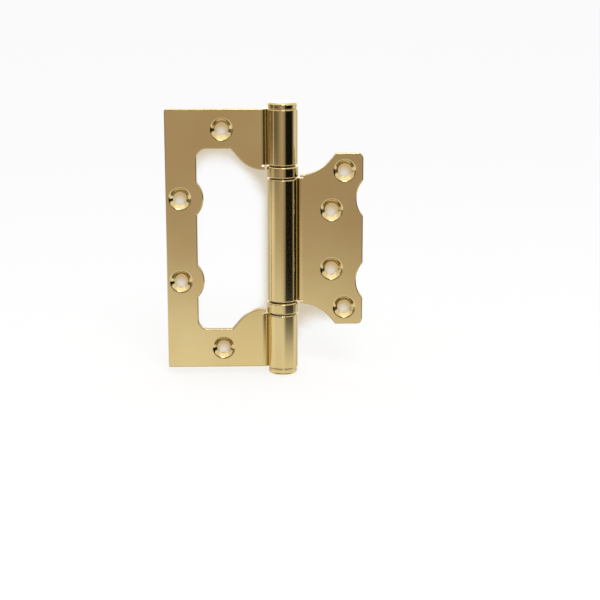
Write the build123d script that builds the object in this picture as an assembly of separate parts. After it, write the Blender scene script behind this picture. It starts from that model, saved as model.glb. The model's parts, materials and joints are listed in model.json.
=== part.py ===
from build123d import *
from math import acos, atan, cos, degrees, floor, pi, radians, sin, tan
import os

# A non-mortise door hinge, opened out flat. The outer leaf is a frame with a window, and the
# smaller inner leaf nests in that window when the hinge is closed. Both leaves are cut from
# steel strip and rolled round the pin, with a ball thrust bearing at each gap in the barrel.
# Millimetres and degrees. Built round the pin: x across the leaves, +y towards the mounting
# side, z along the pin from mid-height.

# Leaves
sheet = 2.5  # thickness of the strip
outer_height = 100.0  # height of the outer leaf and of the barrel without its caps
outer_reach = 44.2  # pin axis to the far edge of the outer leaf
outer_corner_radius = 0.8
end_band = 15.0  # metal of the outer leaf above and below its window
side_band = 11.8  # metal of the outer leaf beside its window
inner_corner_radius = 2.0
head_width = 10.3  # straight top of the inner leaf's heads, up to the corner
shoulder_slope = 4.0  # straight run from a head down to the hollow curve beside the barrel
nest_clearance = 1.8  # gap all round the inner leaf inside the window
edge_round = 0.3  # rounding of the polished edges of the leaves

# Rolled knuckles
bore_radius = 3.25
roll_angle = 40.0  # slope on which the strip leaves the leaf for the back of its roll
bend_radius = 2.3  # bend between leaf and slope, at the middle of the strip
seam_gap = 0.2  # slit left between the free end of the roll and the slope
knuckle_round = 0.45  # rounding of the ends of the knuckles
outer_knuckle_length = 21.1
ear_overhang = 1.3  # how far the inner leaf stands past the ends of its knuckle
ear_clearance = 0.7  # from a bearing to the edge of the leaf beside it
relief_slot = 0.5  # slot between an ear and the bend of the knuckle beside it

# Screw holes: an inset is from the far edge of the leaf, a drop is from its top or bottom edge,
# and a spacing is between the two holes of a pair
hole_radius = 2.55
countersink_radius = 4.45  # out to where the rounded rim meets the face
countersink_angle = 100.0
countersink_round = 1.0  # rim of the countersink, rounded by polishing
end_hole_inset = 21.4  # outer leaf, above and below the window
end_hole_drop = 7.7
side_hole_inset = 5.4  # outer leaf, beside the window
side_hole_spacing = 32.0
side_hole_land = 8.9  # radius of the metal kept round each side hole, a bulge in the window
head_hole_inset = 7.0  # inner leaf, in its two heads
head_hole_drop = 6.7
middle_hole_inset = 11.9  # inner leaf, near its middle
middle_hole_spacing = 22.8

# Pin and caps
pin_clearance = 0.05  # radial running clearance of the pin in the knuckles and races
pin_end_play = 0.1
pin_chamfer = 0.5
cap_height = 2.5
cap_inset = 0.3  # step in from the knuckle to the cap on its end
cap_edge_radius = 0.9
cap_foot_radius = 0.4  # rounding beside the knuckle, which leaves a fine groove
cap_spigot_length = 4.0
cap_fit = 0.02  # radial clearance of the spigot in its knuckle

# Thrust bearings
bearing_height = 5.2  # gap in the barrel that a bearing fills
shell_stand = 0.25  # how far the shell stands out past the knuckles
shell_wall = 0.5
shell_end_gap = 0.5  # from the end of the shell to the knuckle beside it
lip_width = 0.5  # how far the rolled-in lips of the shell reach over the races
race_fit = 0.03  # radial clearance of the fixed race in the shell
race_clearance = 0.12  # running clearance of the moving race in the shell
ball_diameter = 2.0
ball_clearance = 0.05  # between a ball and its groove
ball_spacing = 0.08  # least gap between neighbouring balls
groove_depth = 0.4

# Worked out from the sizes above
knuckle_radius = bore_radius + sheet
roll_radius = bore_radius + sheet / 2
barrel_half = outer_height / 2
outer_knuckle_start = barrel_half - outer_knuckle_length
inner_knuckle_half = outer_knuckle_start - bearing_height
shell_radius = knuckle_radius + shell_stand
ear_reach = shell_radius + ear_clearance
waist_half = inner_knuckle_half + ear_overhang
inner_reach = outer_reach - side_band - nest_clearance  # pin axis to the inner leaf's far edge
head_half = barrel_half - end_band - nest_clearance  # half the height of the inner leaf's heads
shoulder_run = inner_reach - head_width - ear_reach
shoulder_rise = head_half - waist_half
shoulder_turn = 2 * atan(shoulder_rise / (shoulder_run + shoulder_slope))
shoulder_radius = (shoulder_run - shoulder_slope * cos(shoulder_turn)) / sin(shoulder_turn)
end_hole_reach = outer_reach - end_hole_inset
end_hole_spacing = outer_height - 2 * end_hole_drop
side_hole_reach = outer_reach - side_hole_inset
head_hole_reach = inner_reach - head_hole_inset
head_hole_spacing = 2 * (head_half - head_hole_drop)
middle_hole_reach = inner_reach - middle_hole_inset
pin_radius = bore_radius - pin_clearance
lead = radians(roll_angle)
bend_start = roll_radius / sin(lead) + bend_radius * tan(lead / 2)
wall_tilt = radians(90 - countersink_angle / 2)  # of a countersink, from the face of the leaf
cone_radius = countersink_radius - countersink_round * tan(wall_tilt / 2)
ball_circle = (bore_radius + shell_radius - shell_wall) / 2
same_size = 0.001  # sizes closer than this are the same


def knuckle(low, high):
    """Strip between two heights: flat lap on the leaf, bend to the back, slope and roll."""
    roll_sweep = 360 - degrees(acos((bore_radius - seam_gap) / knuckle_radius))
    flat = Line((bend_start + sheet, 0), (bend_start, 0))
    bend = JernArc(flat @ 1, flat % 1, bend_radius, -roll_angle)
    slope = Line(bend @ 1, (roll_radius * sin(lead), roll_radius * cos(lead)))
    roll = JernArc(slope @ 1, slope % 1, roll_radius, roll_sweep)
    section = trace([flat, bend, slope, roll], sheet)
    return Pos(0, 0, low) * extrude(section, high - low)


def inner_leaf_outline(margin=0):
    """Front view of the inner leaf without its knuckle, x from the pin and y along it.

    A margin grows it by that much at its edges, for the window that it nests in."""
    start = (ear_reach, waist_half + margin)
    top = head_half + margin
    reach = inner_reach + margin
    shoulder = JernArc(start, (1, 0), shoulder_radius - margin, degrees(shoulder_turn))
    head_run = (top - (shoulder @ 1).Y) / tan(shoulder_turn)
    rest = Polyline(
        shoulder @ 1,
        ((shoulder @ 1).X + head_run, top),
        (reach, top),
        (reach, 0),
        (ear_reach, 0),
        start,
    )
    half = make_face([shoulder] + rest.edges())
    outline = half + mirror(half, Plane.XZ)
    outline = fillet(outline.vertices().group_by(Axis.X)[-1], inner_corner_radius + margin)
    for side in (-1, 1):
        notch = Circle(side_hole_land + nest_clearance - margin)
        outline -= Pos(side_hole_reach, side * side_hole_spacing / 2) * notch
    return outline


def barrel_zone(reach, low, high):
    """Front view of a stretch of the barrel, widened on the leaf's side to the given reach."""
    width = reach + shell_radius
    return Pos(reach - width / 2, (low + high) / 2) * Rectangle(width, high - low)


def rolled_leaf(outline, knuckles):
    """Flat leaf with the given front outline, joined to its knuckles, with rounded edges."""
    leaf = extrude(Plane.XZ * outline, sheet / 2, both=True) + knuckles
    flats = leaf.faces().filter_by(GeomType.PLANE).filter_by(Axis.Y)
    rims = flats.edges().filter_by(lambda edge: edge.center().X > bend_start + same_size)
    leaf = fillet(rims, edge_round)
    round_faces = leaf.faces().filter_by(GeomType.CYLINDER)
    rolls = round_faces.filter_by(lambda face: abs(face.radius - knuckle_radius) < same_size)
    return fillet(rolls.edges().filter_by(GeomType.CIRCLE), knuckle_round)


def drilled(leaf, *pairs):
    """Leaf with pairs of holes at the given reach and spacing, countersunk from the front."""
    depth = (cone_radius - hole_radius) * tan(wall_tilt)
    mouth = cone_radius + sheet / tan(wall_tilt)
    cone = Pos(0, 0, (sheet - depth) / 2) * Cone(hole_radius, mouth, sheet + depth)
    cutter = Pos(0, -sheet / 2, 0) * Rot(90, 0, 0) * (cone + Cylinder(hole_radius, 4 * sheet))
    for reach, spacing in pairs:
        leaf -= [Pos(reach, 0, side * spacing / 2) * cutter for side in (-1, 1)]
    circles = leaf.edges().filter_by(GeomType.CIRCLE)
    rims = circles.filter_by(lambda edge: abs(edge.radius - cone_radius) < same_size)
    return fillet(rims, countersink_round)


def outer_leaf():
    slot_end = outer_knuckle_start - relief_slot
    outline = Pos((ear_reach + outer_reach) / 2, 0) * Rectangle(outer_reach - ear_reach, outer_height)
    outline = fillet(outline.vertices().group_by(Axis.X)[-1], outer_corner_radius)
    outline -= inner_leaf_outline(nest_clearance)
    outline -= barrel_zone(bend_start, slot_end, barrel_half)
    outline -= barrel_zone(bend_start, -barrel_half, -slot_end)
    upper = knuckle(outer_knuckle_start, barrel_half)
    leaf = rolled_leaf(outline, [upper, mirror(upper, Plane.XY)])
    leaf = drilled(leaf, (end_hole_reach, end_hole_spacing), (side_hole_reach, side_hole_spacing))
    return mirror(leaf, Plane.YZ)


def inner_leaf():
    slot_end = inner_knuckle_half + relief_slot
    outline = inner_leaf_outline() - barrel_zone(bend_start, -slot_end, slot_end)
    leaf = rolled_leaf(outline, [knuckle(-inner_knuckle_half, inner_knuckle_half)])
    pairs = ((head_hole_reach, head_hole_spacing), (middle_hole_reach, middle_hole_spacing))
    return drilled(leaf, *pairs)


def hinge_pin():
    length = outer_height - 2 * (cap_spigot_length + pin_end_play)
    pin = Cylinder(pin_radius, length)
    return chamfer(pin.edges().filter_by(GeomType.CIRCLE), pin_chamfer)


def top_cap():
    """Button that closes the upper end of the barrel, with a spigot in the knuckle's bore."""
    button = Pos(0, 0, cap_height / 2) * Cylinder(knuckle_radius - cap_inset, cap_height)
    button = fillet(button.edges().filter_by(GeomType.CIRCLE).sort_by(Axis.Z)[-1], cap_edge_radius)
    button = fillet(button.edges().filter_by(GeomType.CIRCLE).sort_by(Axis.Z)[0], cap_foot_radius)
    spigot = Pos(0, 0, -cap_spigot_length / 2) * Cylinder(bore_radius - cap_fit, cap_spigot_length)
    return Pos(0, 0, barrel_half) * (button + spigot)


def race(clearance):
    """Grooved washer that stands on z = 0 with its groove on top, stepped in to clear the lip."""
    rim = shell_radius - shell_wall - clearance
    foot = rim - lip_width
    step = shell_end_gap + shell_wall + clearance
    opening = ball_diameter + 2 * ball_clearance - 2 * groove_depth
    height = (bearing_height - opening) / 2
    body = Pos(0, 0, (height + step) / 2) * Cylinder(rim, height - step)
    body += Pos(0, 0, height / 2) * Cylinder(foot, height)
    body -= Cylinder(bore_radius, 2 * bearing_height)
    groove = Torus(ball_circle, ball_diameter / 2 + ball_clearance)
    return body - Pos(0, 0, bearing_height / 2) * groove


def shell():
    """Ring round a bearing, with a lip rolled in at each end."""
    height = bearing_height - 2 * shell_end_gap
    ring = Cylinder(shell_radius, height)
    ring = fillet(ring.edges().filter_by(GeomType.CIRCLE), shell_wall)
    ring -= Cylinder(shell_radius - shell_wall - lip_width + race_fit, height)
    ring -= Cylinder(shell_radius - shell_wall, height - 2 * shell_wall)
    return Pos(0, 0, bearing_height / 2) * ring


def balls():
    """Full ring of balls at the middle of the bearing, each a solid of its own."""
    count = floor(2 * pi * ball_circle / (ball_diameter + ball_spacing))
    ball = Pos(ball_circle, 0, bearing_height / 2) * Sphere(ball_diameter / 2)
    return Compound([Rot(0, 0, 360 * step / count) * ball for step in range(count)])


upper_bearing = {
    "bearing_shell": shell(),
    "moving_race": race(race_clearance),
    "fixed_race": mirror(Pos(0, 0, -bearing_height) * race(race_fit), Plane.XY),
    "bearing_balls": balls(),
}

nodes = {
    "outer_leaf": outer_leaf(),
    "inner_leaf": inner_leaf(),
    "hinge_pin": hinge_pin(),
    "top_cap": top_cap(),
    "bottom_cap": mirror(top_cap(), Plane.XY),
}
for name, piece in upper_bearing.items():
    placed = Pos(0, 0, inner_knuckle_half) * piece
    nodes["upper_" + name] = placed
    nodes["lower_" + name] = mirror(placed, Plane.XY)

# The origin is midway between the outer leaf's end holes, on its mounting face.
to_origin = Pos(end_hole_reach, -sheet / 2, 0)
os.makedirs("parts", exist_ok=True)
for name, piece in nodes.items():
    export_step(to_origin * piece, "parts/" + name + ".step")
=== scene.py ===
import json
from math import cos, radians, sin

import bpy
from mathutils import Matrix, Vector


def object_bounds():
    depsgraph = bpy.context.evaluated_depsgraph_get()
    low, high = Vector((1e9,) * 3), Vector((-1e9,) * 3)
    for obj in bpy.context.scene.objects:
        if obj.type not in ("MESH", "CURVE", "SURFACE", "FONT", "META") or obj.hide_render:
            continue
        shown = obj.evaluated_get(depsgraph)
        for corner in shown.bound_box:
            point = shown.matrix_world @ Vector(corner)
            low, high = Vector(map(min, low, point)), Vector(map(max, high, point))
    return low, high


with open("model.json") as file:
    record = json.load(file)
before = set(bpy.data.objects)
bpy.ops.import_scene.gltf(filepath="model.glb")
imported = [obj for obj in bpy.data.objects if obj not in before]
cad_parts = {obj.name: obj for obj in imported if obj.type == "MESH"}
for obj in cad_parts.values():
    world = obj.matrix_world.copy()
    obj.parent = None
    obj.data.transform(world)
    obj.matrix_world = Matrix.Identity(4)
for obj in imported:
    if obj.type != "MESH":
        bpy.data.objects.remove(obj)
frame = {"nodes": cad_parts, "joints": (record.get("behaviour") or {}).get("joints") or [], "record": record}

# A brass-plated non-mortise hinge, open flat, in a white studio. Metres and degrees, in the
# frame of the solids: x across the leaves, y towards the mounting side, z up along the pin.
# An azimuth is measured from straight in front (-y) towards +x, an elevation from the horizon.

# Camera
camera_place = (0.00991, -0.59968, 0.12323)
camera_yaw = 1.872  # towards +x
camera_pitch = 13.804  # below the horizon
camera_lens = 96.0  # millimetres
camera_sensor = 36.0  # width in millimetres
camera_near = 0.01  # nothing closer than this is drawn

# Finishes
brass_colour = (0.73, 0.58, 0.28)
brass_deep_colour = (0.69, 0.53, 0.24)
brass_roughness = 0.05
pin_colour = (0.55, 0.55, 0.54)
pin_dark_colour = (0.42, 0.42, 0.42)
pin_roughness = 0.25
bearing_colour = (0.62, 0.62, 0.62)
# painted shade: near black in the bearing's narrow gaps, where shade falls between the parts
bearing_gap_shade_colour = (0.07, 0.05, 0.035)
bearing_roughness = 0.1
gap_shade_depth = 0.0015  # size of the gaps that get painted shade
gap_shade_limits = (0.8, 0.3)  # openness at which the painted gap shade starts and is full
line_width = 0.0004  # polishing lines
line_length = 0.012
line_depth = 3e-7
line_detail = 3.0
line_roughness = 0.04  # what a line adds at most
patch_size = 0.03  # clouds of deeper colour in the plating
patch_limits = (0.3, 0.7)  # noise at which the deeper colour starts and is full
patch_roughness = 0.02
wave_size = 0.009  # gentle unevenness of rolled and polished strip
wave_depth = 4e-6
wave_detail = 1.0
cut_colour = (0.42, 0.33, 0.16)  # cut edges are duller than the polished faces
cut_facing = (0.6, 0.2)  # how much a surface may face front or back where an edge starts and is full
shear_width = 0.0003  # marks across the cut edges of the leaves
shear_length = 0.004
shear_depth = 4e-6
shear_roughness = 0.12
worn_radius = 0.00035  # polishing rounds the edges of the leaves a little more
worn_samples = 6
flat_start = 0.0085  # distance from the pin's axis past which a leaf is flat
flat_blend = 0.001
openness_samples = 24

# Studio
white = (1.0, 1.0, 1.0)
room_light = 0.7  # light of the white surroundings on matt surfaces
floor_size = 8.0
floor_colour = 0.45
floor_glow = 0.64
paper_grain = 0.003  # size of the faint specks in the floor's paper
paper_detail = 4.0
paper_speck = 0.98  # share of the floor's colour that the darkest specks have
shadow_light = (0.08, -0.42, 0.9)  # way to the light that the soft shadows turn from
shadow_colour = (0.66, 0.57, 0.43)
shadow_reach = 0.013  # how far from the hinge its soft shadow fades out
shadow_limits = (0.76, 0.62)  # openness at which the shadow starts and is full
shadow_panels = (  # limits along x and z, and how far the left, right, lower and upper edges fade
    ("window_shadow", (-0.015, 0.0208), (-0.041, 0.041), (0.006, 0.003, 0.005, 0.005)),
    ("inner_leaf_shadow", (0.0265, 0.044), (-0.044, -0.02), (0.0035, 0.005, 0.006, 0.004)),
)
hole_colour = (0.55, 0.4, 0.2)  # shade in the holes, where brass tints the light
hole_limits = (0.87, 0.52)
hole_steps = 48  # corners of the film behind a hole
hole_film_gap = 0.0004  # from the back of a leaf to the film behind its holes
hole_film_margin = 0.0008  # how far that film reaches past the rim of a hole
card_distance = 3.0  # of the furthest card
card_step = 0.05  # each card hangs this much nearer than the one before it
card_columns = 36
card_rows = 18
lamp_distance = 0.9
lamp_size = 0.35
lamp_power = 1.6
lamp_azimuth = 8.0
lamp_elevation = 44.0

mm_per_metre = 1000
scene = bpy.context.scene
cad_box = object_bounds()
middle = (cad_box[0] + cad_box[1]) / 2
swing = next(joint for joint in frame["joints"] if joint["name"] == "leaf_swing")
pin_axis = Vector(swing["pos_m"])


def direction(azimuth, elevation):
    """Unit vector that points that way from the hinge."""
    level = cos(radians(elevation))
    across = level * sin(radians(azimuth))
    ahead = -level * cos(radians(azimuth))
    return Vector((across, ahead, sin(radians(elevation))))


class Tree:
    """Node tree of a material or world, with short calls for adding and joining nodes."""

    def __init__(self, owner):
        owner.use_nodes = True
        self.nodes = owner.node_tree.nodes
        self.links = owner.node_tree.links
        self.nodes.clear()

    def add(self, kind, inputs=None, **settings):
        """New node. An input's value may be a plain value or another node's output socket."""
        node = self.nodes.new(kind)
        for name, value in settings.items():
            setattr(node, name, value)
        for name, value in (inputs or {}).items():
            if isinstance(value, bpy.types.NodeSocket):
                self.links.new(value, node.inputs[name])
            else:
                node.inputs[name].default_value = value
        return node

    def math(self, operation, first, second=0.0):
        return self.add("ShaderNodeMath", {0: first, 1: second}, operation=operation).outputs[0]

    def ramp(self, value, start, end):
        """Smooth step from 0 where value is at start to 1 where it is at end."""
        inputs = {"Value": value, "From Min": start, "From Max": end}
        node = self.add("ShaderNodeMapRange", inputs, interpolation_type="SMOOTHSTEP")
        return node.outputs["Result"]

    def noise(self, place, size, detail=2.0):
        """Noise from 0 to 1 with features of the given size, or sizes along x, y and z."""
        sizes = size if isinstance(size, tuple) else (size, size, size)
        scale = tuple(1 / feature for feature in sizes)
        mapped = self.add("ShaderNodeMapping", {"Vector": place, "Scale": scale})
        inputs = {"Vector": mapped.outputs["Vector"], "Scale": 1.0, "Detail": detail}
        return self.add("ShaderNodeTexNoise", inputs).outputs["Fac"]

    def openness(self, reach, normal=None):
        """From 0 where everything within reach is closed in to 1 where it is open."""
        inputs = {"Color": (*white, 1.0), "Distance": reach}
        if normal is not None:
            inputs["Normal"] = normal
        node = self.add("ShaderNodeAmbientOcclusion", inputs, samples=openness_samples)
        return node.outputs["AO"]

    def colour(self, share, first, second):
        """Colour that goes from first to second as share goes from 0 to 1."""
        inputs = {"Factor": share}
        for name, end in (("A", first), ("B", second)):
            inputs[name] = end if isinstance(end, bpy.types.NodeSocket) else (*end, 1.0)
        return self.add("ShaderNodeMix", inputs, data_type="RGBA").outputs["Result"]

    def bump(self, height, depth, normal=None):
        """Surface direction with relief of the given depth, on top of another direction if given."""
        inputs = {"Height": height, "Distance": depth, "Strength": 1.0}
        if normal is not None:
            inputs["Normal"] = normal
        return self.add("ShaderNodeBump", inputs).outputs["Normal"]


def from_axis(tree, place):
    """Place measured from the pin, and the distance from the pin's axis."""
    shift = tuple(-value for value in pin_axis)
    local = tree.add("ShaderNodeMapping", {"Vector": place, "Location": shift}).outputs["Vector"]
    flat = tree.add("ShaderNodeVectorMath", {0: local, 1: (1, 1, 0)}, operation="MULTIPLY")
    radius = tree.add("ShaderNodeVectorMath", {0: flat.outputs["Vector"]}, operation="LENGTH")
    return local, radius.outputs["Value"]


def cut_edge(tree, normal, radius):
    """1 on the cut edges of a flat leaf and in its holes, 0 on its faces and its knuckles."""
    parts = tree.add("ShaderNodeSeparateXYZ", {"Vector": normal})
    facing = tree.math("ABSOLUTE", parts.outputs["Y"])
    in_leaf = tree.ramp(radius, flat_start, flat_start + flat_blend)
    return tree.math("MULTIPLY", in_leaf, tree.ramp(facing, *cut_facing))


def metal(name, colours, roughness, turned=False, cut=False, paints_gap_shade=False):
    """Polished metal. Fine lines run along the pin, or round it on turned pieces. A cut piece has
    dull edges with shear marks, and one that paints gap shade takes its second colour in narrow gaps, as
    painted shade."""
    material = bpy.data.materials.new(name)
    tree = Tree(material)
    place = tree.add("ShaderNodeTexCoord")
    local, radius = from_axis(tree, place.outputs["Object"])
    if turned:
        height = tree.add("ShaderNodeSeparateXYZ", {"Vector": local}).outputs["Z"]
        rings = tree.add("ShaderNodeCombineXYZ", {"X": radius, "Y": height}).outputs["Vector"]
        lines = tree.noise(rings, line_width, line_detail)
    else:
        lines = tree.noise(local, (line_width, line_width, line_length), line_detail)
    clouds = tree.noise(local, patch_size)
    waves = tree.noise(local, wave_size, wave_detail)
    if paints_gap_shade:
        # painted shade: the second colour where narrow gaps close the steel in
        share = tree.ramp(tree.openness(gap_shade_depth), *gap_shade_limits)
    else:
        share = tree.ramp(clouds, *patch_limits)
    colour = tree.colour(share, *colours)
    rough = tree.math("ADD", roughness, tree.math("MULTIPLY", lines, line_roughness))
    rough = tree.math("ADD", rough, tree.math("MULTIPLY", clouds, patch_roughness))
    normal = None
    if cut:
        worn = tree.add("ShaderNodeBevel", {"Radius": worn_radius}, samples=worn_samples)
        normal = worn.outputs["Normal"]
    normal = tree.bump(waves, wave_depth, normal)
    normal = tree.bump(lines, line_depth, normal)
    if cut:
        edge = cut_edge(tree, place.outputs["Normal"], radius)
        marks = tree.noise(local, (shear_width, shear_length, shear_width), line_detail)
        rough = tree.math("ADD", rough, tree.math("MULTIPLY", edge, shear_roughness))
        normal = tree.bump(tree.math("MULTIPLY", edge, marks), shear_depth, normal)
        colour = tree.colour(edge, colour, cut_colour)
    inputs = {"Base Color": colour, "Metallic": 1.0, "Roughness": rough, "Normal": normal}
    shader = tree.add("ShaderNodeBsdfPrincipled", inputs)
    tree.add("ShaderNodeOutputMaterial", {"Surface": shader.outputs["BSDF"]})
    return material


def dress_nodes():
    """Gives each solid the finish of its slot in the record."""
    brass = (brass_colour, brass_deep_colour)
    ground = (pin_colour, pin_dark_colour)
    steel_and_gap_shade = (bearing_colour, bearing_gap_shade_colour)
    leaf_brass = metal("leaf_brass", brass, brass_roughness, cut=True)
    turned_brass = metal("turned_brass", brass, brass_roughness, turned=True)
    pin_steel = metal("ground_pin_steel", ground, pin_roughness, turned=True)
    # the bearing steel gets painted shade in its narrow gaps
    bearing_steel = metal("bearing_steel_gap_shade", steel_and_gap_shade, bearing_roughness, turned=True, paints_gap_shade=True)
    finishes = {"brass_plate": turned_brass, "pin_steel": pin_steel, "bearing_steel": bearing_steel}
    for subpart in frame["record"]["subparts"]:
        name = subpart["node"]
        materials = frame["nodes"][name].data.materials
        materials.clear()
        materials.append(leaf_brass if name.endswith("_leaf") else finishes[subpart["material_slot"]])


def stage_mesh(name, corners, faces, material, places=None):
    """Piece of the stage. Places, if given, are where its corners lie across and up a panel."""
    mesh = bpy.data.meshes.new(name)
    mesh.from_pydata(corners, [], faces)
    mesh.materials.append(material)
    if places:
        layer = mesh.uv_layers.new(name="panel")
        for loop in mesh.loops:
            layer.data[loop.index].uv = places[loop.vertex_index]
    thing = bpy.data.objects.new(name, mesh)
    scene.collection.objects.link(thing)
    thing.visible_shadow = False
    return thing


def edge_shares(fades, width, height):
    """What the left, right, lower and upper edges of a panel take to fade, as shares of its size."""
    left, right, low, high = fades
    return left / width, right / width, low / height, high / height


def soft_edges(tree, soft):
    """1 inside a panel and 0 at its left, right, lower and upper edges, which fade over the
    given shares of its width and height."""
    left, right, low, high = soft
    place = tree.add("ShaderNodeTexCoord").outputs["UV"]
    parts = tree.add("ShaderNodeSeparateXYZ", {"Vector": place})
    across, up = parts.outputs["X"], parts.outputs["Y"]
    sides = tree.math("MULTIPLY", tree.ramp(across, 0.0, left), tree.ramp(across, 1.0, 1 - right))
    ends = tree.math("MULTIPLY", tree.ramp(up, 0.0, low), tree.ramp(up, 1.0, 1 - high))
    return tree.math("MULTIPLY", sides, ends)


def one_sided(tree, front):
    """Ends a material that shows its front and is clear from behind."""
    clear = tree.add("ShaderNodeBsdfTransparent")
    behind = tree.add("ShaderNodeNewGeometry").outputs["Backfacing"]
    surface = tree.add("ShaderNodeMixShader", {0: behind, 1: front, 2: clear.outputs["BSDF"]})
    tree.add("ShaderNodeOutputMaterial", {"Surface": surface.outputs["Shader"]})


def floor_material():
    """White paper, lit and a little bright by itself, and seen through from below."""
    material = bpy.data.materials.new("floor_paper")
    tree = Tree(material)
    place = tree.add("ShaderNodeTexCoord").outputs["Object"]
    grain = tree.noise(place, paper_grain, paper_detail)
    dark = (floor_colour * paper_speck,) * 3
    light = (floor_colour,) * 3
    paper = tree.add("ShaderNodeBsdfDiffuse", {"Color": tree.colour(grain, dark, light)})
    glow = tree.add("ShaderNodeEmission", {"Color": (*white, 1.0), "Strength": floor_glow})
    both = tree.add("ShaderNodeAddShader", {0: paper.outputs["BSDF"], 1: glow.outputs["Emission"]})
    one_sided(tree, both.outputs["Shader"])
    return material


def lay_floor():
    """Pale floor under the bottom cap. The metal reflects the white surroundings in its place."""
    half = floor_size / 2
    height = cad_box[0].z
    corners = [(x * half, y * half, height) for x, y in ((-1, -1), (1, -1), (1, 1), (-1, 1))]
    floor = stage_mesh("floor", corners, [(0, 1, 2, 3)], floor_material())
    floor.visible_glossy = False


def film_material(name, colour, limits, soft=None):
    """Clear film that only takes on the soft shadow of what lies close in front of it."""
    material = bpy.data.materials.new(name)
    tree = Tree(material)
    x, y, z = Vector(shadow_light).normalized()
    turned = tree.add("ShaderNodeCombineXYZ", {"X": x, "Y": y, "Z": z}).outputs["Vector"]
    share = tree.ramp(tree.openness(shadow_reach, turned), *limits)
    if soft:
        share = tree.math("MULTIPLY", share, soft_edges(tree, soft))
    film = tree.add("ShaderNodeBsdfTransparent", {"Color": tree.colour(share, white, colour)})
    one_sided(tree, film.outputs["BSDF"])
    return material


def hang_film(name, corners, faces, material, places=None):
    """Piece of film that reflections and scattered light pass by."""
    film = stage_mesh(name, corners, faces, material, places)
    film.visible_glossy = False
    film.visible_diffuse = False


def hang_shadows():
    """Films where a wall would take the shadow of the hinge, behind the window and the inner
    leaf's lower edge."""
    back = cad_box[1].y
    places = [(0, 0), (1, 0), (1, 1), (0, 1)]
    for name, xs, zs, fades in shadow_panels:
        corners = [(xs[across], back, zs[up]) for across, up in places]
        soft = edge_shares(fades, xs[1] - xs[0], zs[1] - zs[0])
        material = film_material(name, shadow_colour, shadow_limits, soft)
        hang_film(name, corners, [(0, 1, 2, 3)], material, places)


def shade_holes():
    """Discs of film close behind the screw holes, which stand in pairs, one above the other."""
    corners = []
    faces = []
    for mount in frame["record"]["mounts"]:
        if mount["kind"] != "bolt_pattern":
            continue
        x, y, z = mount["pos_m"]
        radius = mount["dims"]["hole_r_mm"] / mm_per_metre + hole_film_margin
        rise = mount["dims"]["spacing_y_mm"] / mm_per_metre / 2
        for side in (-1, 1):
            height = z + side * rise
            start = len(corners)
            for step in range(hole_steps):
                turn = radians(360 * step / hole_steps)
                corners.append((x + radius * cos(turn), y + hole_film_gap, height + radius * sin(turn)))
            faces.append(range(start, start + hole_steps))
    hang_film("hole_shade", corners, faces, film_material("hole_shade", hole_colour, hole_limits))


def card_material(name, colour, soft):
    """Glowing card with soft edges."""
    material = bpy.data.materials.new(name)
    tree = Tree(material)
    card = tree.add("ShaderNodeEmission", {"Color": (*colour, 1.0), "Strength": 1.0})
    clear = tree.add("ShaderNodeBsdfTransparent")
    inputs = {0: soft_edges(tree, soft), 1: clear.outputs["BSDF"], 2: card.outputs["Emission"]}
    surface = tree.add("ShaderNodeMixShader", inputs)
    tree.add("ShaderNodeOutputMaterial", {"Surface": surface.outputs["Shader"]})
    return material


def hang_card(name, distance, colour, azimuth, elevation, fades):
    """Curved card out of shot, seen only as a reflection. Angles in degrees; fades is how many
    degrees its left, right, lower and upper edges take to fade."""
    width = azimuth[1] - azimuth[0]
    height = elevation[1] - elevation[0]
    corners = []
    places = []
    for row in range(card_rows + 1):
        for column in range(card_columns + 1):
            across = column / card_columns
            up = row / card_rows
            way = direction(azimuth[0] + across * width, elevation[0] + up * height)
            corners.append(middle + way * distance)
            places.append((across, up))
    faces = []
    for row in range(card_rows):
        for column in range(card_columns):
            low = row * (card_columns + 1) + column
            high = low + card_columns + 1
            faces.append((low, low + 1, high + 1, high))
    material = card_material(name, colour, edge_shares(fades, width, height))
    card = stage_mesh(name, corners, faces, material, places)
    card.visible_camera = False
    card.visible_diffuse = False


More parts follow.
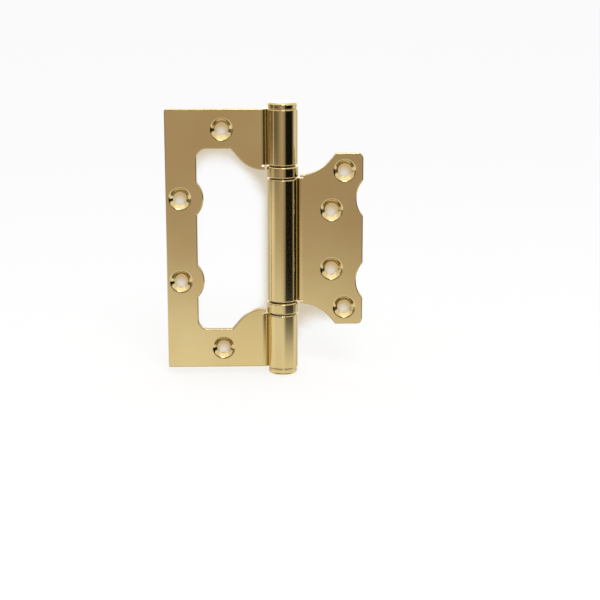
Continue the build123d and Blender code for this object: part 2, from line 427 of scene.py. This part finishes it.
def hang_cards():
    """The room round the hinge as its metal shows it, from the furthest card to the nearest."""
    grey = (0.52, 0.445, 0.405)
    side_grey = (0.72, 0.7, 0.67)
    dim = (0.18, 0.15, 0.12)
    low = (0.2, 0.18, 0.16)
    dark = (0.010, 0.009, 0.008)
    pale = (0.9, 0.9, 0.9)
    overhead = (1.4, 1.4, 1.4)
    behind = (3.0, 3.0, 3.0)
    cards = (  # colour, limits of azimuth and elevation, and what the edges take to fade
        ("low_dim", low, (-110, 110), (-75, -28), (20, 20, 20, 9)),
        ("overhead_glow", overhead, (-75, 75), (40, 80), (20, 20, 8, 8)),
        ("back_glow", behind, (150, 210), (4.5, 10.5), (12, 12, 1.5, 3.5)),
        ("back_wall", side_grey, (110, 256), (-26, 3), (20, 20, 8, 3)),
        ("front_wall", grey, (-80, 20), (-17.5, 30), (32, 10, 7.3, 15)),
        ("left_lift", pale, (-66, -4), (-19.5, -9.5), (14, 12, 4, 8)),
        ("dim_left", dim, (-130, -2), (-11.2, 20), (20, 44, 4.5, 10)),
        ("left_strip", pale, (-76, -69), (-12, 45), (2.5, 2.5, 4, 15)),
        ("front_dim", dim, (-40, 40), (0, 36), (15, 15, 8, 8)),
        ("dark_right", dark, (0, 112), (-17.4, 12), (28, 38, 2.8, 10)),
    )
    for index, (name, colour, azimuth, elevation, fades) in enumerate(cards):
        hang_card(name, card_distance - index * card_step, colour, azimuth, elevation, fades)


def hang_lamp():
    """Soft round lamp above the camera, which throws the shadow on the floor."""
    lamp = bpy.data.lights.new("overhead_lamp", "AREA")
    lamp.shape = "DISK"
    lamp.size = lamp_size
    lamp.energy = lamp_power
    thing = bpy.data.objects.new("overhead_lamp", lamp)
    way = direction(lamp_azimuth, lamp_elevation)
    thing.location = middle + way * lamp_distance
    thing.rotation_euler = (-way).to_track_quat("-Z", "Y").to_euler()
    scene.collection.objects.link(thing)


def white_surroundings():
    """White to the camera, to reflections and through clear things, and dimmer as a light."""
    scene.world = bpy.data.worlds.new("white_surroundings")
    tree = Tree(scene.world)
    path = tree.add("ShaderNodeLightPath").outputs
    seen = tree.math("MAXIMUM", path["Is Camera Ray"], path["Is Glossy Ray"])
    seen = tree.math("MAXIMUM", seen, path["Is Transmission Ray"])
    light = tree.add("ShaderNodeBackground", {"Color": (*white, 1.0), "Strength": room_light})
    plain = tree.add("ShaderNodeBackground", {"Color": (*white, 1.0), "Strength": 1.0})
    inputs = {0: seen, 1: light.outputs["Background"], 2: plain.outputs["Background"]}
    both = tree.add("ShaderNodeMixShader", inputs)
    tree.add("ShaderNodeOutputWorld", {"Surface": both.outputs["Shader"]})


def set_camera():
    """Camera where the photo was taken from."""
    data = bpy.data.cameras.new("camera")
    data.lens = camera_lens
    data.sensor_width = camera_sensor
    data.clip_start = camera_near
    camera = bpy.data.objects.new("camera", data)
    camera.location = camera_place
    camera.rotation_euler = (radians(90 - camera_pitch), 0.0, radians(-camera_yaw))
    scene.collection.objects.link(camera)
    scene.camera = camera


dress_nodes()
lay_floor()
hang_shadows()
shade_holes()
hang_cards()
hang_lamp()
white_surroundings()
set_camera()
scene.view_settings.view_transform = "Standard"
